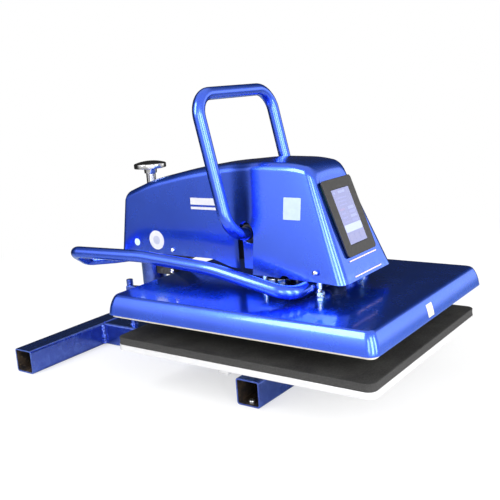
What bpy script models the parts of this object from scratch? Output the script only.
"""Swing-away heat press with a 16 x 20 inch platen.

The base is a welded H of square tube with a pivot post.  An arm turns on the post and carries the
shroud, the touch controller, the swing bar and the guides of the press head.  Pulling the lift
handle forward turns two cranks, which push the ram and the heated head down on the pad.

Metres.  X is to the operator's right, -Y is the operator's side, Z is up.  The origin is on the
bench below the centre of the lower platen.
"""
import math

import bmesh
import bpy
from mathutils import Matrix, Vector

GAP = 0.0003                      # between pieces that touch or rest on each other

# base frame
TUBE = 0.048                      # square tube, outside
TUBE_WALL = 0.003
REAR_FOOT_HALF = 0.219
REAR_FOOT_Y = 0.506
FRONT_FOOT_HALF = 0.150
FRONT_FOOT_Y = 0.008

# lower platen and pad
PLATEN_SIZE = (0.406, 0.508)
PLATEN_CORNER = 0.015
PLATEN_BOTTOM = 0.0815
PLATEN_TOP = 0.0924
PAD_TOP = 0.1064
CROSS_BAR_BOTTOM = 0.0732

# swing pivot
PIVOT_Y = 0.339
POST_RADIUS = 0.0185
SLEEVE_OUTER = 0.0241
SLEEVE_INNER = 0.0211
SLEEVE_BOTTOM = 0.0700
SLEEVE_TOP = 0.2560
STOP_RADIUS = 0.007
STOP_Y = 0.413
STOP_TOP = 0.146
SWING_DEG = 100.0

# press head
HEAD_SIZE = (0.422, 0.528)
HEAD_CORNER = 0.016
HEAD_BOTTOM = 0.149
HEAD_TOP = 0.183
# the housing's side from its lower edge up: inset, and depth below the top
HEAD_SIDE = ((0.0, HEAD_TOP - HEAD_BOTTOM), (0.0036, 0.0145), (0.0100, 0.0018), (0.0120, 0.0))
SHELL = 0.0025
HEAT_SIZE = (0.410, 0.516)
HEAT_CORNER = 0.010
HEAT_BOTTOM = 0.1435
HEAT_TOP = 0.163
RAM_Y = 0.0274
RAM_RADIUS = 0.0125
ROD_RADIUS = 0.0045
ROD_TOP = 0.258
ROD_PLACES = {"front_left": (-0.0705, -0.0945), "front_right": (0.0705, -0.0945),
              "rear_left": (-0.065, 0.017), "rear_right": (0.065, 0.017)}

# lift handle and its toggle
AXLE_Y = 0.052
AXLE_Z = 0.277
AXLE_RADIUS = 0.008
HANDLE_TUBE = 0.011
HANDLE_HALF = 0.109
HANDLE_REACH = 0.246
HANDLE_LEAN = math.radians(12.3)
HANDLE_INNER = 0.0475
HANDLE_FOOT_BEND = 0.046
HANDLE_TOP_BEND = 0.040
CRANK = 0.028
CRANK_DEG = 40.81                 # above level at rest, below level when pressed
STROKE = 2 * CRANK * math.sin(math.radians(CRANK_DEG))
PIN_RADIUS = 0.004
CRANK_PIN = (AXLE_Y - CRANK * math.cos(math.radians(CRANK_DEG)), AXLE_Z + STROKE / 2)
WRIST_Z = 0.268

# arm
SIDE_PLATE_IN = 0.0345
SIDE_PLATE = 0.005
CHEEK_IN = 0.0490
CHEEK = 0.0035
GUIDE_BOTTOM = 0.2115
GUIDE_TOP = 0.2195
BAR_TUBE = 0.011
BAR_Z = 0.1985
BAR_CROSS_Y = -0.078

# shroud
SHROUD_WALL = 0.0025
SHROUD_BOTTOM = 0.2225
SHROUD_REAR = (0.376, 0.354)      # Y at the bottom and at the top
PANEL_FOOT = (-0.150, 0.208)      # Y, Z of the front panel's lower edge
PANEL_HEAD = (-0.083, 0.386)
PANEL_LEAN = math.atan2(PANEL_HEAD[0] - PANEL_FOOT[0], PANEL_HEAD[1] - PANEL_FOOT[1])
KEYHOLE = 0.0215

# touch screen
BEZEL = (0.096, 0.131, 0.0030)
DISPLAY = (0.057, 0.094)
SCREEN_Z = 0.3045

# pressure knob
KNOB_Y = 0.322
KNOB_Z = 0.387
NUT_Z = 0.315

# power inlet with rocker switch
INLET_Y = 0.300
INLET_Z = 0.268

BLUE = (0.035, 0.075, 0.62, 1)
DARK_STEEL = (0.02, 0.02, 0.025, 1)
CHROME = (0.80, 0.80, 0.82, 1)
ALUMINIUM = (0.72, 0.73, 0.74, 1)


def clear_scene():
    for item in list(bpy.data.objects):
        bpy.data.objects.remove(item, do_unlink=True)


def material(name, colour, roughness, metallic):
    found = bpy.data.materials.get(name)
    if found:
        return found
    made = bpy.data.materials.new(name)
    made.use_nodes = True
    shader = made.node_tree.nodes["Principled BSDF"]
    shader.inputs["Base Color"].default_value = colour
    shader.inputs["Roughness"].default_value = roughness
    shader.inputs["Metallic"].default_value = metallic
    made.diffuse_color = colour
    return made


def paint(name):
    return material(name, BLUE, 0.25, 0.6)


def steel(name):
    return material(name, DARK_STEEL, 0.45, 0.4)


def chrome(name):
    return material(name, CHROME, 0.12, 1.0)


def aluminium(name):
    return material(name, ALUMINIUM, 0.35, 1.0)


def frame(name, place, parent=None):
    """An empty on a joint's axis, which carries the pieces of one moving body."""
    empty = bpy.data.objects.new(name, None)
    bpy.context.collection.objects.link(empty)
    empty.parent = parent
    above = parent["place"] if parent else (0, 0, 0)
    empty.location = Vector(place) - Vector(above)
    empty["place"] = place
    return empty


def add(name, data, body, place, look, smooth=True):
    """Links a node under its body's empty at a place given in the frame of the whole press."""
    node = bpy.data.objects.new(name, data)
    bpy.context.collection.objects.link(node)
    node.parent = body
    node.location = Vector(place) - Vector(body["place"])
    data.materials.append(look)
    if smooth and isinstance(data, bpy.types.Mesh):
        data.shade_smooth()
        data.set_sharp_from_angle(angle=math.radians(35))
    return node


def mesh_from(name, bm):
    bmesh.ops.remove_doubles(bm, verts=bm.verts, dist=1e-6)
    bmesh.ops.recalc_face_normals(bm, faces=bm.faces)
    mesh = bpy.data.meshes.new(name)
    bm.to_mesh(mesh)
    bm.free()
    return mesh


def box_mesh(name, size):
    bm = bmesh.new()
    bmesh.ops.create_cube(bm, size=1.0)
    bmesh.ops.scale(bm, vec=size, verts=bm.verts)
    return mesh_from(name, bm)


def box(name, body, low, high, look, bevel=0.0):
    size = [h - l for l, h in zip(low, high)]
    middle = [(h + l) / 2 for l, h in zip(low, high)]
    node = add(name, box_mesh(name, size), body, middle, look)
    if bevel:
        soften(node, bevel)
    return node


def soften(node, width, segments=2):
    bevel = node.modifiers.new("edge", "BEVEL")
    bevel.width = width
    bevel.segments = segments
    bevel.limit_method = "ANGLE"
    bevel.angle_limit = math.radians(50)
    return bevel


def turned_mesh(name, profile, segments=24, closed=False):
    """Spins (radius, height) points about Z.  A closed profile makes a ring."""
    bm = bmesh.new()
    verts = [bm.verts.new((r, 0, z)) for r, z in profile]
    pairs = list(zip(verts, verts[1:]))
    if closed:
        pairs.append((verts[-1], verts[0]))
    edges = [bm.edges.new(pair) for pair in pairs]
    bmesh.ops.spin(bm, geom=verts + edges, axis=(0, 0, 1), cent=(0, 0, 0), steps=segments,
                   angle=2 * math.pi)
    return mesh_from(name, bm)


def turned(name, body, place, profile, look, segments=24, closed=False, along="Z"):
    mesh = turned_mesh(name, profile, segments, closed)
    turn = {"X": Matrix.Rotation(math.pi / 2, 4, "Y"), "Z": Matrix.Identity(4)}[along]
    mesh.transform(turn)
    return add(name, mesh, body, place, look)


def solid_round(radius, low, high):
    return [(0, high), (radius, high), (radius, low), (0, low)]


def ring(inner, outer, low, high):
    return [(outer, high), (outer, low), (inner, low), (inner, high)]


def extruded_mesh(name, outline, depth, axis):
    """A flat outline given in the two other axes' order, pushed out evenly by depth on axis."""
    bm = bmesh.new()
    lay = {"X": lambda a, b: (-depth / 2, a, b), "Y": lambda a, b: (a, -depth / 2, b),
           "Z": lambda a, b: (a, b, -depth / 2)}[axis]
    push = {"X": (depth, 0, 0), "Y": (0, depth, 0), "Z": (0, 0, depth)}[axis]
    face = bm.faces.new([bm.verts.new(lay(a, b)) for a, b in outline])
    grown = bmesh.ops.extrude_face_region(bm, geom=[face])
    moved = [item for item in grown["geom"] if isinstance(item, bmesh.types.BMVert)]
    bmesh.ops.translate(bm, vec=push, verts=moved)
    return mesh_from(name, bm)


def rounded_outline(width, depth, radius, steps=5):
    """A rectangle about the origin with round corners, counterclockwise."""
    points = []
    for corner, (sx, sy) in enumerate(((1, 1), (-1, 1), (-1, -1), (1, -1))):
        for step in range(steps + 1):
            turn = math.radians(90 * (corner + step / steps))
            points.append((sx * (width / 2 - radius) + radius * math.cos(turn),
                           sy * (depth / 2 - radius) + radius * math.sin(turn)))
    return points


def slab(name, body, size, radius, low, high, look):
    mesh = extruded_mesh(name, rounded_outline(size[0], size[1], radius), high - low, "Z")
    return add(name, mesh, body, (0, 0, (low + high) / 2), look)


def loft_mesh(name, loops, fill_first, fill_last, joined=True):
    """Skins a list of loops with the same number of points."""
    bm = bmesh.new()
    rows = [[bm.verts.new(point) for point in loop] for loop in loops]
    count = len(rows[0])
    last = count if joined else count - 1
    for row, following in zip(rows, rows[1:]):
        for step in range(last):
            after = (step + 1) % count
            bm.faces.new((row[step], row[after], following[after], following[step]))
    if fill_first:
        bm.faces.new(rows[0])
    if fill_last:
        bm.faces.new(rows[-1])
    return mesh_from(name, bm)


def cutter(name, mesh, body, place, turn=None):
    tool = bpy.data.objects.new(name, mesh)
    bpy.context.collection.objects.link(tool)
    tool.parent = body
    tool.location = Vector(place) - Vector(body["place"])
    if turn:
        tool.rotation_euler = turn
    tool.hide_render = True
    tool.display_type = "WIRE"
    return tool


def boolean(node, tool, operation="DIFFERENCE"):
    modifier = node.modifiers.new(tool.name, "BOOLEAN")
    modifier.operation = operation
    modifier.solver = "EXACT"
    modifier.object = tool


def drill(node, body, place, radius, length, along="Z", segments=16):
    tool_mesh = turned_mesh("drill", solid_round(radius, -length / 2, length / 2), segments)
    if along == "X":
        tool_mesh.transform(Matrix.Rotation(math.pi / 2, 4, "Y"))
    tool = cutter(node.name + "_drill", tool_mesh, body, place)
    boolean(node, tool)


def rounded_path(corners, steps=6):
    """Corners are (point, bend radius); straight runs are joined by arcs."""
    points = [Vector(corners[0][0])]
    for (before, _), (corner, radius), (after, _) in zip(corners, corners[1:], corners[2:]):
        back = (Vector(before) - Vector(corner)).normalized()
        onward = (Vector(after) - Vector(corner)).normalized()
        half = back.angle(onward) / 2
        reach = radius / math.tan(half)
        middle = Vector(corner) + (back + onward).normalized() * (radius / math.sin(half))
        start = Vector(corner) + back * reach - middle
        end = Vector(corner) + onward * reach - middle
        sweep = start.angle(end)
        for step in range(steps + 1):
            share = step / steps
            spot = (start * math.sin((1 - share) * sweep) + end * math.sin(share * sweep))
            points.append(middle + spot / math.sin(sweep))
    points.append(Vector(corners[-1][0]))
    return points


def tube_along(name, body, points, radius, look, sides=4):
    """A round bar along points given in the frame of the whole press."""
    curve = bpy.data.curves.new(name, "CURVE")
    curve.dimensions = "3D"
    curve.bevel_depth = radius
    curve.bevel_resolution = sides
    curve.use_fill_caps = True
    spline = curve.splines.new("POLY")
    spline.points.add(len(points) - 1)
    origin = Vector(body["place"])
    for spot, point in zip(spline.points, points):
        spot.co = (*(Vector(point) - origin), 1)
    return add(name, curve, body, body["place"], look)


# --- base -----------------------------------------------------------------------------------

def square_tube(name, body, length, along, place):
    outer = rounded_outline(TUBE, TUBE, 0.004, 3)
    inner = rounded_outline(TUBE - 2 * TUBE_WALL, TUBE - 2 * TUBE_WALL, 0.0015, 3)
    loops = []
    for outline, end in ((inner, -1), (outer, -1), (outer, 1), (inner, 1), (inner, -1)):
        run = end * length / 2
        lay = {"X": lambda a, b: (run, a, b), "Y": lambda a, b: (a, run, b)}[along]
        loops.append([lay(a, b) for a, b in outline])
    mesh = loft_mesh(name, loops, False, False)
    return add(name, mesh, body, place, paint(name + "_paint"))


def foot_screw(name, body, x):
    profile = [(0, 0.0055), (0.0045, 0.0055), (0.006, 0.004), (0.006, 0), (0, 0)]
    turned(name, body, (x, FRONT_FOOT_Y, TUBE_WALL + GAP), profile, chrome(name + "_zinc"), 6)


def build_base(base):
    middle = TUBE / 2
    square_tube("rear_foot_tube", base, 2 * REAR_FOOT_HALF, "X", (0, REAR_FOOT_Y, middle))
    square_tube("front_foot_tube", base, 2 * FRONT_FOOT_HALF, "X", (0, FRONT_FOOT_Y, middle))
    spine_low = FRONT_FOOT_Y + middle + GAP
    spine_high = REAR_FOOT_Y - middle - GAP
    square_tube("spine_tube", base, spine_high - spine_low, "Y",
                (0, (spine_low + spine_high) / 2, middle))
    foot_screw("foot_screw_left", base, -FRONT_FOOT_HALF + 0.011)
    foot_screw("foot_screw_right", base, FRONT_FOOT_HALF - 0.011)

    post_foot = TUBE + GAP
    tip = SLEEVE_TOP + 0.0155
    profile = [(0, tip), (0.0075, tip), (0.009, tip - 0.0015), (0.009, SLEEVE_TOP),
               (POST_RADIUS, SLEEVE_TOP), (POST_RADIUS, 0.066), (0.023, 0.066),
               (0.023, post_foot), (0, post_foot)]
    turned("pivot_post", base, (0, PIVOT_Y, 0), profile, paint("post_paint"))
    turned("thrust_washer", base, (0, PIVOT_Y, 0),
           ring(POST_RADIUS + 0.0004, 0.0235, 0.066 + GAP, SLEEVE_BOTTOM - GAP),
           material("washer_bronze", (0.55, 0.36, 0.14, 1), 0.35, 1.0), 16, True)
    turned("post_nut", base, (0, PIVOT_Y, 0),
           ring(0.0109, 0.0165, SLEEVE_TOP + GAP, SLEEVE_TOP + 0.012), steel("nut_zinc"), 6, True)
    turned("stop_post", base, (0, STOP_Y, 0),
           [(0, STOP_TOP), (STOP_RADIUS - 0.001, STOP_TOP), (STOP_RADIUS, STOP_TOP - 0.001),
            (STOP_RADIUS, post_foot), (0, post_foot)], paint("stop_paint"), 20)

    bed = PLATEN_BOTTOM - GAP
    groove = CROSS_BAR_BOTTOM - GAP
    outline = [(-0.052, post_foot), (0.088, post_foot), (0.088, bed), (0.0285, bed),
               (0.0285, groove), (0.0075, groove), (0.0075, bed), (-0.052, bed)]
    add("platen_pedestal", extruded_mesh("platen_pedestal", outline, 0.110, "X"), base, (0, 0, 0),
        steel("pedestal_paint"))
    box("platen_cross_bar", base, (-0.198, 0.008, CROSS_BAR_BOTTOM), (0.198, 0.028, bed),
        aluminium("cross_bar_aluminium"), 0.0015)
    lower = slab("lower_platen", base, PLATEN_SIZE, PLATEN_CORNER, PLATEN_BOTTOM, PLATEN_TOP,
                 aluminium("platen_aluminium"))
    soften(lower, 0.0012, 1)
    pad = slab("platen_pad", base, PLATEN_SIZE, PLATEN_CORNER, PLATEN_TOP + GAP, PAD_TOP,
               material("silicone_pad", (0.035, 0.035, 0.037, 1), 0.8, 0.0))
    soften(pad, 0.0015, 1)


# --- arm ------------------------------------------------------------------------------------

def stop_collar(arm):
    """A clamp ring round the sleeve; its lugs meet the stop post at both ends of the swing."""
    reach = 0.071
    width = 0.012
    clear = math.degrees(math.asin((STOP_RADIUS + width / 2 + GAP) / (STOP_Y - PIVOT_Y)))
    name = "stop_collar"
    collar = turned(name, arm, (0, PIVOT_Y, 0),
                    ring(SLEEVE_OUTER + GAP, 0.031, 0.112, 0.138), paint("collar_paint"),
                    closed=True)
    for turn in (90 + clear, 90 - clear - SWING_DEG):
        lug = box_mesh("lug", (reach - 0.028, width, 0.022))
        lug.transform(Matrix.Translation(((reach + 0.028) / 2, 0, 0)))
        tool = cutter("lug_shape", lug, arm, (0, PIVOT_Y, 0.125), (0, 0, math.radians(turn)))
        boolean(collar, tool, "UNION")


def side_plate(name, arm, side):
    """One of the two long plates of the arm, from the column to the nose."""
    foot = SHROUD_BOTTOM + 0.0015
    outline = [(0.362, foot), (0.352, 0.300), (0.338, 0.324), (0.280, 0.345), (0.150, 0.366),
               (0.020, 0.372), (-0.050, 0.350), (-0.068, 0.300), (-0.068, GUIDE_TOP + GAP),
               (0.046, GUIDE_TOP + GAP), (0.060, foot)]
    plate = add(name, extruded_mesh(name, outline, SIDE_PLATE, "X"), arm,
                (side * (SIDE_PLATE_IN + SIDE_PLATE / 2), 0, 0), steel("side_plate_paint"))
    drill(plate, arm, (0, AXLE_Y, AXLE_Z), 0.0113, 0.2, "X")


def cheek_plate(name, arm, side):
    """The painted plate that closes the keyhole; its rear part runs down past the guide plate."""
    foot = GUIDE_TOP + GAP
    outline = [(-0.040, foot), (0.0278, foot), (0.0278, GUIDE_BOTTOM), (0.068, GUIDE_BOTTOM),
               (0.068, 0.308), (-0.010, 0.308), (-0.040, 0.280)]
    plate = add(name, extruded_mesh(name, outline, CHEEK, "X"), arm,
                (side * (CHEEK_IN + CHEEK / 2), 0, 0), paint("cheek_paint"))
    drill(plate, arm, (0, AXLE_Y, AXLE_Z), 0.0195, 0.2, "X", 32)


def guide_plate(arm):
    tail = CHEEK_IN - 0.0005
    outline = [(-0.081, -0.115), (0.081, -0.115), (0.0745, 0.027), (tail, 0.027), (tail, 0.050),
               (-tail, 0.050), (-tail, 0.027), (-0.0745, 0.027)]
    middle = (GUIDE_BOTTOM + GUIDE_TOP) / 2
    plate = add("guide_plate", extruded_mesh("guide_plate", outline, GUIDE_TOP - GUIDE_BOTTOM, "Z"),
                arm, (0, 0, middle), steel("guide_steel"))
    for x, y in ROD_PLACES.values():
        drill(plate, arm, (x, y, middle), ROD_RADIUS + 0.0006, 0.05)
    drill(plate, arm, (0, RAM_Y, middle), RAM_RADIUS + 0.0038, 0.05)


def build_bar(arm):
    """The swing bar: a bent tube from the column, round both sides and under the nose."""
    left = [((-0.0165, 0.3575, 0.2065), 0), ((-0.052, 0.392, 0.2055), 0.030),
            ((-0.096, 0.424, 0.2085), 0.020), ((-0.146, 0.404, 0.238), 0.022),
            ((-0.140, 0.235, 0.2405), 0.300), ((-0.140, 0.075, 0.2310), 0.300),
            ((-0.1315, BAR_CROSS_Y, BAR_Z), 0.030)]
    right = [((-x, y, z), radius) for (x, y, z), radius in reversed(left)]
    tube_along("swing_bar", arm, rounded_path(left + right, 4), BAR_TUBE, paint("bar_paint"), 3)

    outer = BAR_TUBE + GAP + 0.002
    inner = BAR_TUBE + GAP
    rise = GUIDE_BOTTOM - GAP - BAR_Z
    flange = 0.024
    steps = 10
    outline = [(flange, rise), (flange, rise - 0.002), (outer, rise - 0.002)]
    outline += [(outer * math.cos(math.pi * k / steps), -outer * math.sin(math.pi * k / steps))
                for k in range(steps + 1)]
    outline += [(-outer, rise - 0.002), (-flange, rise - 0.002), (-flange, rise), (-inner, rise)]
    outline += [(inner * math.cos(math.pi * k / steps), -inner * math.sin(math.pi * k / steps))
                for k in range(steps, -1, -1)]
    outline += [(inner, rise)]
    add("swing_bar_clamp", extruded_mesh("swing_bar_clamp", outline, 0.050, "X"), arm,
        (0, BAR_CROSS_Y, BAR_Z), steel("clamp_steel"))


def shroud_ridge(y):
    """Height of the shroud's top line at its middle."""
    line = ((0.376, 0.3300), (0.340, 0.3440), (0.279, 0.3655), (0.190, 0.3835), (0.112, 0.3950),
            (0.030, 0.4010), (-0.045, 0.3990), (-0.083, 0.3900), (-0.150, 0.3830))
    for (y1, z1), (y2, z2) in zip(line, line[1:]):
        if y >= y2:
            share = min(1.0, max(0.0, (y1 - y) / (y1 - y2)))
            return z1 + (z2 - z1) * share
    return line[-1][1]


def ease(share):
    share = min(1.0, max(0.0, share))
    return share * share * (3 - 2 * share)


def shroud_half_width(y):
    """Half width at the bottom and at the top: narrow over the column, wide round the nose."""
    flare = ease((0.090 - y) / 0.056)
    run = min(1.0, max(0.0, (0.034 - y) / 0.170))
    return 0.050 + flare * (0.031 + 0.008 * run), 0.050 + flare * (0.006 + 0.003 * run)


def shroud_loop(y_foot, y_head, inset):
    """Bottom left, up the side, over the rounded top and down the other side."""
    y_mean = (y_foot + y_head) / 2
    foot_half, head_half = shroud_half_width(y_mean)
    foot_half -= inset
    head_half -= inset
    foot = SHROUD_BOTTOM - 0.0125 * ease((0.150 - y_mean) / 0.060) - 0.002 * (y_mean < -0.09)
    head = shroud_ridge(y_head) - inset
    edge = 0.017
    side = [(-foot_half, foot), (-head_half, head - edge)]
    side.insert(1, ((side[0][0] + side[1][0]) / 2, (side[0][1] + side[1][1]) / 2))
    for turn in (22.5, 45, 67.5, 90):
        angle = math.radians(turn)
        side.append((-head_half + edge * (1 - math.cos(angle)),
                     head - edge + (edge - 0.0015) * math.sin(angle)))
    half = side + [(0, head)]
    full = half + [(-x, z) for x, z in reversed(side)]
    loop = []
    for x, z in full:
        share = (z - foot) / (head - foot)
        loop.append((x, y_foot + (y_head - y_foot) * share, z))
    return loop


def shroud_stations():
    """(Y at the foot, Y at the head, inset) from the rear wall to the front panel."""
    edge = 0.012
    stations = []
    for turn in (90, 60, 30, 0):
        angle = math.radians(turn)
        back = edge * (1 - math.sin(angle))
        stations.append((SHROUD_REAR[0] - back, SHROUD_REAR[1] - back, edge * (1 - math.cos(angle))))
    for y in (0.340, 0.310, 0.279, 0.235, 0.190, 0.150, 0.112, 0.092, 0.083, 0.074, 0.065, 0.056,
              0.047, 0.038, 0.028):
        lean = 0.5 * (SHROUD_REAR[1] - SHROUD_REAR[0]) * max(0.0, (y - 0.279) / 0.085)
        stations.append((y - lean, y + lean, 0.0))
    edge = 0.014
    foot_y = PANEL_FOOT[0] + edge
    head_y = PANEL_HEAD[0] + edge
    start = stations[-1]
    for share in (0.3, 0.6, 0.85):
        stations.append((start[0] + (foot_y - start[0]) * share,
                         start[1] + (head_y - start[1]) * share, 0.0))
    for turn in (0, 30, 60, 90):
        angle = math.radians(turn)
        back = edge * (1 - math.sin(angle))
        stations.append((PANEL_FOOT[0] + back, PANEL_HEAD[0] + back, edge * (1 - math.cos(angle))))
    return stations


def panel_place(z, out):
    """A point on the middle line of the front panel, moved out along its normal."""
    y = PANEL_FOOT[0] + (z - PANEL_FOOT[1]) * math.tan(PANEL_LEAN)
    return (0, y - out * math.cos(PANEL_LEAN), z + out * math.sin(PANEL_LEAN))


def build_shroud(arm):
    loops = [shroud_loop(*station) for station in shroud_stations()]
    mesh = loft_mesh("shroud", loops, True, True, joined=False)
    shroud = add("shroud", mesh, arm, (0, 0, 0), paint("shroud_paint"))
    wall = shroud.modifiers.new("wall", "SOLIDIFY")
    wall.thickness = SHROUD_WALL
    wall.offset = -1.0
    wall.use_even_offset = True

    for side in (-1, 1):
        keyhole = turned_mesh("keyhole", solid_round(KEYHOLE, -0.020, 0.020), 32)
        keyhole.transform(Matrix.Rotation(math.pi / 2, 4, "Y"))
        boolean(shroud, cutter("keyhole", keyhole, arm, (side * 0.066, AXLE_Y, AXLE_Z)))
        slot = box_mesh("keyhole_slot", (0.040, 0.0485, 0.080))
        boolean(shroud, cutter("keyhole_slot", slot, arm, (side * 0.066, 0.0548, AXLE_Z - 0.040)))
        drill(shroud, arm, (side * 0.080, -0.036, 0.2045), 0.0105, 0.04, "X")
    for y, z, x in SCREW_PLACES:
        drill(shroud, arm, (0, y, z), 0.0032, 0.3, "X", 12)
    drill(shroud, arm, (0, KNOB_Y, 0.350), 0.0130, 0.06)
    opening = box_mesh("screen_opening", (BEZEL[0] - 0.008, 0.030, BEZEL[1] - 0.008))
    boolean(shroud, cutter("screen_opening", opening, arm, panel_place(SCREEN_Z, 0.0),
                           (-PANEL_LEAN, 0, 0)))
    inlet = box_mesh("inlet_opening", (0.030, 0.048, 0.0275))
    boolean(shroud, cutter("inlet_opening", inlet, arm, (0.050, INLET_Y, INLET_Z)))


SCREW_PLACES = ((0.237, 0.2320, 0.0500), (-0.098, 0.2255, 0.0872))


def shroud_screws(arm):
    """Four dome-headed screws through the skirt of the shroud."""
    for y, z, x in SCREW_PLACES:
        where = "rear" if y > 0 else "front"
        for side, word in ((-1, "left"), (1, "right")):
            profile = [(0, 0.0034), (0.002, 0.0031), (0.0037, 0.0020), (0.0046, 0.0006),
                       (0.0046, 0), (0.0025, 0), (0.0025, -0.0075), (0, -0.0075)]
            mesh = turned_mesh("shroud_screw", profile, 12)
            mesh.transform(Matrix.Rotation(side * math.pi / 2, 4, "Y"))
            add(f"shroud_screw_{where}_{word}", mesh, arm, (side * (x + 0.0008), y, z),
                chrome("screw_chrome"))


def build_screen(arm):
    lean = (-PANEL_LEAN, 0, 0)
    thick = BEZEL[2]
    place = panel_place(SCREEN_Z, GAP + thick / 2)
    outline = rounded_outline(BEZEL[0], BEZEL[1], 0.006, 3)
    bezel = add("touch_bezel", extruded_mesh("touch_bezel", outline, thick, "Y"), arm, place,
                material("bezel_plastic", (0.012, 0.011, 0.011, 1), 0.35, 0.0))
    bezel.rotation_euler = lean
    pocket = box_mesh("display_pocket", (DISPLAY[0] + 0.0006, thick, DISPLAY[1] + 0.0006))
    spot = panel_place(SCREEN_Z, GAP + thick / 2 + 0.0012)
    boolean(bezel, cutter("display_pocket", pocket, arm, spot, lean))
    glass = box_mesh("touch_display", (DISPLAY[0], 0.0012, DISPLAY[1]))
    display = add("touch_display", glass, arm, panel_place(SCREEN_Z, GAP + thick - 0.0009),
                  material("display_glass", (0.33, 0.36, 0.85, 1), 0.15, 0.0))
    display.rotation_euler = lean
    board = box_mesh("controller_board", (BEZEL[0] - 0.012, 0.012, BEZEL[1] - 0.012))
    back = add("controller_board", board, arm, panel_place(SCREEN_Z, -0.0062),
               material("board_plastic", (0.02, 0.10, 0.05, 1), 0.5, 0.0))
    back.rotation_euler = lean


def build_arm(arm):
    turned("pivot_sleeve", arm, (0, PIVOT_Y, 0),
           ring(SLEEVE_INNER, SLEEVE_OUTER, SLEEVE_BOTTOM, SLEEVE_TOP), paint("sleeve_paint"),
           closed=True)
    bronze = material("bush_bronze", (0.55, 0.36, 0.14, 1), 0.35, 1.0)
    for name, low in (("lower_bush", SLEEVE_BOTTOM + 0.002), ("upper_bush", SLEEVE_TOP - 0.032)):
        turned(name, arm, (0, PIVOT_Y, 0),
               ring(POST_RADIUS + 0.0004, SLEEVE_INNER - 0.0007, low, low + 0.030), bronze,
               16, True)
    stop_collar(arm)

    block = box("arm_head_block", arm, (-SIDE_PLATE_IN + GAP, 0.2950, 0.2270),
                (SIDE_PLATE_IN - GAP, 0.3665, 0.2500), steel("head_block_steel"), 0.001)
    drill(block, arm, (0, PIVOT_Y, 0.240), SLEEVE_OUTER + 0.0004, 0.1, "Z", 32)
    front = PIVOT_Y - SLEEVE_OUTER - GAP
    outline = [(front - 0.085, 0.2265), (front, 0.2265), (front, 0.172), (front - 0.0445, 0.172),
               (front - 0.0445, 0.188), (front - 0.085, 0.208)]
    add("arm_gusset", extruded_mesh("arm_gusset", outline, 0.034, "X"), arm, (0, 0, 0),
        steel("gusset_paint"))
    side_plate("arm_side_plate_left", arm, -1)
    side_plate("arm_side_plate_right", arm, 1)
    cheek_plate("cheek_plate_left", arm, -1)
    cheek_plate("cheek_plate_right", arm, 1)
    guide_plate(arm)
    for name, side in (("axle_bush_left", -1), ("axle_bush_right", 1)):
        turned(name, arm, (side * (SIDE_PLATE_IN + SIDE_PLATE / 2), AXLE_Y, AXLE_Z),
               ring(AXLE_RADIUS + 0.0004, 0.0108, -0.0042, 0.0042), bronze, 16, True, "X")
    turned("ram_bush", arm, (0, RAM_Y, 0),
           ring(RAM_RADIUS + 0.0004, RAM_RADIUS + 0.0034, GUIDE_BOTTOM - 0.0002, GUIDE_TOP), bronze,
           16, True)
    build_bar(arm)
    build_shroud(arm)
    shroud_screws(arm)
    build_screen(arm)
    box("solid_state_relay", arm, (-0.022, 0.170, 0.270), (0.022, 0.228, 0.297),
        material("relay_plastic", (0.80, 0.80, 0.78, 1), 0.5, 0.0), 0.002)
    bridge = box("adjuster_bridge", arm, (-SIDE_PLATE_IN + GAP, 0.309, 0.3245),
                 (SIDE_PLATE_IN - GAP, 0.335, 0.3295), steel("bridge_steel"))
    drill(bridge, arm, (0, KNOB_Y, 0.327), 0.0050, 0.02)
    module = box("power_inlet", arm, (0.0410, INLET_Y - 0.0265, INLET_Z - 0.0160),
                 (0.0525, INLET_Y + 0.0265, INLET_Z + 0.0160),
                 material("inlet_plastic", (0.015, 0.015, 0.016, 1), 0.4, 0.0))
    collar = box_mesh("inlet_waist", (0.0093, 0.2, 0.2))
    core = box_mesh("inlet_core", (0.0093, 0.0470, 0.0265))
    waist = cutter("inlet_waist", collar, arm, (0.0456, INLET_Y, INLET_Z))
    boolean(waist, cutter("inlet_core", core, arm, (0.0456, INLET_Y, INLET_Z)))
    boolean(module, waist)
    socket = box_mesh("inlet_socket", (0.008, 0.0235, 0.0185))
    boolean(module, cutter("inlet_socket", socket, arm, (0.0520, INLET_Y - 0.0095, INLET_Z)))
    window = box_mesh("rocker_window", (0.0090, 0.0130, 0.0210))
    boolean(module, cutter("rocker_window", window, arm, (0.0520, INLET_Y + 0.0140, INLET_Z)))


# --- moving bodies on the arm ---------------------------------------------------------------

def build_switch(switch):
    outline = [(0.0486, -0.0042), (0.0486, 0.0042), (0.0532, 0.0092), (0.0550, 0.0090),
               (0.0540, 0), (0.0550, -0.0090), (0.0532, -0.0092)]
    mesh = extruded_mesh("switch_rocker", [(x, z) for x, z in outline], 0.0120, "Y")
    add("switch_rocker", mesh, switch, (0, INLET_Y + 0.0140, INLET_Z),
        material("rocker_plastic", (0.30, 0.01, 0.01, 1), 0.3, 0.0))


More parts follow.
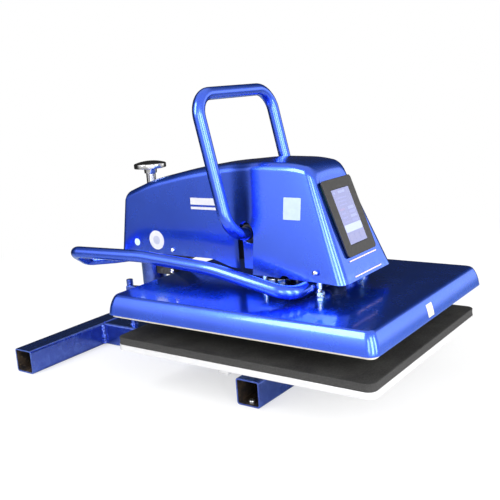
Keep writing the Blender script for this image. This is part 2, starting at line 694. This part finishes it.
def build_knob(knob, nut):
    disc = 0.0315
    low = KNOB_Z - 0.0060
    profile = [(0, KNOB_Z + 0.0080), (0.012, KNOB_Z + 0.0076), (0.024, KNOB_Z + 0.0058),
               (disc - 0.0012, KNOB_Z + 0.0032), (disc, KNOB_Z + 0.0014), (disc, low + 0.001),
               (disc - 0.001, low), (0.0122, low), (0.0122, 0.3710), (0.0096, 0.3695),
               (0.0096, 0.3480), (0.0045, 0.3480), (0.0045, 0.3050), (0, 0.3050)]
    turned("pressure_knob", knob, (0, KNOB_Y, 0), profile, chrome("knob_chrome"), 24)
    block = box("adjuster_nut", nut, (-0.013, KNOB_Y - 0.0120, NUT_Z - 0.0055),
                (0.013, KNOB_Y + 0.0085, NUT_Z + 0.0055), steel("adjuster_steel"), 0.001)
    drill(block, nut, (0, KNOB_Y, NUT_Z), 0.0049, 0.03)


def build_lift(lift):
    def lay(x, reach):
        return (x, AXLE_Y + reach * math.sin(HANDLE_LEAN), AXLE_Z + reach * math.cos(HANDLE_LEAN))

    corners = [(lay(-HANDLE_INNER, 0), 0), (lay(-HANDLE_HALF, 0), HANDLE_FOOT_BEND),
               (lay(-HANDLE_HALF, HANDLE_REACH), HANDLE_TOP_BEND),
               (lay(HANDLE_HALF, HANDLE_REACH), HANDLE_TOP_BEND),
               (lay(HANDLE_HALF, 0), HANDLE_FOOT_BEND), (lay(HANDLE_INNER, 0), 0)]
    tube_along("lift_handle", lift, rounded_path(corners, 6), HANDLE_TUBE, paint("handle_paint"), 4)
    half = HANDLE_INNER - GAP
    turned("lift_axle", lift, (0, AXLE_Y, AXLE_Z), solid_round(AXLE_RADIUS, -half, half),
           chrome("axle_steel"), 24, False, "X")
    pin_y, pin_z = CRANK_PIN
    for name, side in (("crank_left", -1), ("crank_right", 1)):
        mesh = strap_mesh(name, (0, 0), 0.0155, (pin_y - AXLE_Y, pin_z - AXLE_Z), 0.0090, 0.0070)
        crank = add(name, mesh, lift, (side * 0.0230, AXLE_Y, AXLE_Z), steel("crank_steel"))
        drill(crank, lift, (side * 0.0230, AXLE_Y, AXLE_Z), AXLE_RADIUS + GAP, 0.02, "X")
        drill(crank, lift, (side * 0.0230, pin_y, pin_z), PIN_RADIUS + GAP, 0.02, "X", 16)
    turned("crank_pin", lift, (0, pin_y, pin_z), solid_round(PIN_RADIUS, -0.0275, 0.0275),
           chrome("pin_steel"), 16, False, "X")


def strap_mesh(name, first, first_radius, second, second_radius, thick):
    """A flat link with round ends, in the YZ plane."""
    run = Vector(second) - Vector(first)
    heading = math.atan2(run.y, run.x)
    lean = math.asin((first_radius - second_radius) / run.length)
    outline = []
    steps = 7
    for centre, radius, start, end in (
            (first, first_radius, math.pi / 2 - lean, 1.5 * math.pi + lean),
            (second, second_radius, -math.pi / 2 + lean, math.pi / 2 - lean)):
        for step in range(steps + 1):
            turn = heading + start + (end - start) * step / steps
            outline.append((centre[0] + radius * math.cos(turn),
                            centre[1] + radius * math.sin(turn)))
    return extruded_mesh(name, outline, thick, "X")


def build_link(link):
    pin_y, pin_z = CRANK_PIN
    drop = WRIST_Z - pin_z
    mesh = strap_mesh("toggle_link", (0, 0), 0.0090, (0, drop), 0.0125, 0.0176)
    node = add("toggle_link", mesh, link, (0, pin_y, pin_z), steel("link_steel"))
    drill(node, link, (0, pin_y, pin_z), PIN_RADIUS + GAP, 0.04, "X", 16)
    drill(node, link, (0, pin_y, WRIST_Z), 0.0086, 0.04, "X")


def build_ram(head):
    rest = HEAD_TOP + GAP
    profile = [(0, 0.2600), (RAM_RADIUS, 0.2600), (RAM_RADIUS, rest + 0.008),
               (0.030, rest + 0.007), (0.032, rest + 0.005), (0.032, rest), (0, rest)]
    ram = turned("ram", head, (0, RAM_Y, 0), profile, chrome("ram_steel"), 20)
    clevis = box_mesh("clevis", (0.036, 0.021, 0.0205))
    boolean(ram, cutter("clevis", clevis, head, (0, RAM_Y, 0.26775)), "UNION")
    slot = box_mesh("clevis_slot", (0.0184, 0.040, 0.040))
    boolean(ram, cutter("clevis_slot", slot, head, (0, RAM_Y, 0.2735)))
    drill(ram, head, (0, RAM_Y, WRIST_Z), PIN_RADIUS + GAP, 0.05, "X", 16)
    turned("wrist_pin", head, (0, RAM_Y, WRIST_Z), solid_round(PIN_RADIUS, -0.0185, 0.0185),
           chrome("pin_steel"), 16, False, "X")


def build_head(head):
    build_ram(head)
    foot = HEAD_TOP + GAP
    for word, (x, y) in ROD_PLACES.items():
        profile = [(0, ROD_TOP), (ROD_RADIUS - 0.001, ROD_TOP), (ROD_RADIUS, ROD_TOP - 0.001),
                   (ROD_RADIUS, foot + 0.006), (0.0080, foot + 0.006), (0.0080, foot), (0, foot)]
        turned("guide_rod_" + word, head, (x, y, 0), profile, chrome("rod_chrome"), 14)

    width, depth = HEAD_SIZE
    loops = []
    for inset, below in HEAD_SIDE:
        outline = rounded_outline(width - 2 * inset, depth - 2 * inset, HEAD_CORNER - inset)
        loops.append([(x, y, HEAD_TOP - below) for x, y in outline])
    mesh = loft_mesh("upper_housing", loops, False, True)
    housing = add("upper_housing", mesh, head, (0, 0, 0), paint("housing_paint"))
    wall = housing.modifiers.new("wall", "SOLIDIFY")
    wall.thickness = SHELL
    wall.offset = -1.0
    wall.use_even_offset = True

    heat = slab("heat_platen", head, HEAT_SIZE, HEAT_CORNER, HEAT_BOTTOM, HEAT_TOP,
                aluminium("heat_platen_aluminium"))
    soften(heat, 0.001, 1)
    path = [((-0.150, 0.190), 0), ((-0.150, -0.190), 0.045), ((-0.050, -0.190), 0.045),
            ((-0.050, 0.190), 0.045), ((0.050, 0.190), 0.045), ((0.050, -0.190), 0.045),
            ((0.150, -0.190), 0.045), ((0.150, 0.190), 0)]
    level = HEAT_TOP + GAP + 0.004
    tube_along("heating_element", head,
               rounded_path([((x, y, level), r) for (x, y), r in path], 4), 0.004,
               material("element_sheath", (0.30, 0.28, 0.26, 1), 0.4, 1.0), 0)
    slab("insulation_board", head, (0.394, 0.496), 0.020, level + 0.0045, 0.1790,
         material("glass_fibre", (0.75, 0.72, 0.62, 1), 0.9, 0.0))
    box("thermocouple", head, (-0.005, -0.030, HEAT_TOP + GAP), (0.005, 0.010, HEAT_TOP + 0.006),
        chrome("probe_steel"), 0.001)


def main():
    clear_scene()
    base = frame("base_frame", (0, 0, 0))
    arm = frame("arm_pivot", (0, PIVOT_Y, 0), base)
    lift = frame("lift_pivot", (0, AXLE_Y, AXLE_Z), arm)
    link = frame("link_pivot", (0, *CRANK_PIN), lift)
    head = frame("head_slide", (0, RAM_Y, HEAD_TOP), arm)
    knob = frame("knob_pivot", (0, KNOB_Y, KNOB_Z), arm)
    nut = frame("nut_slide", (0, KNOB_Y, NUT_Z), arm)
    switch = frame("switch_pivot", (0.0505, INLET_Y + 0.0140, INLET_Z), arm)
    build_base(base)
    build_arm(arm)
    build_lift(lift)
    build_link(link)
    build_head(head)
    build_knob(knob, nut)
    build_switch(switch)


main()
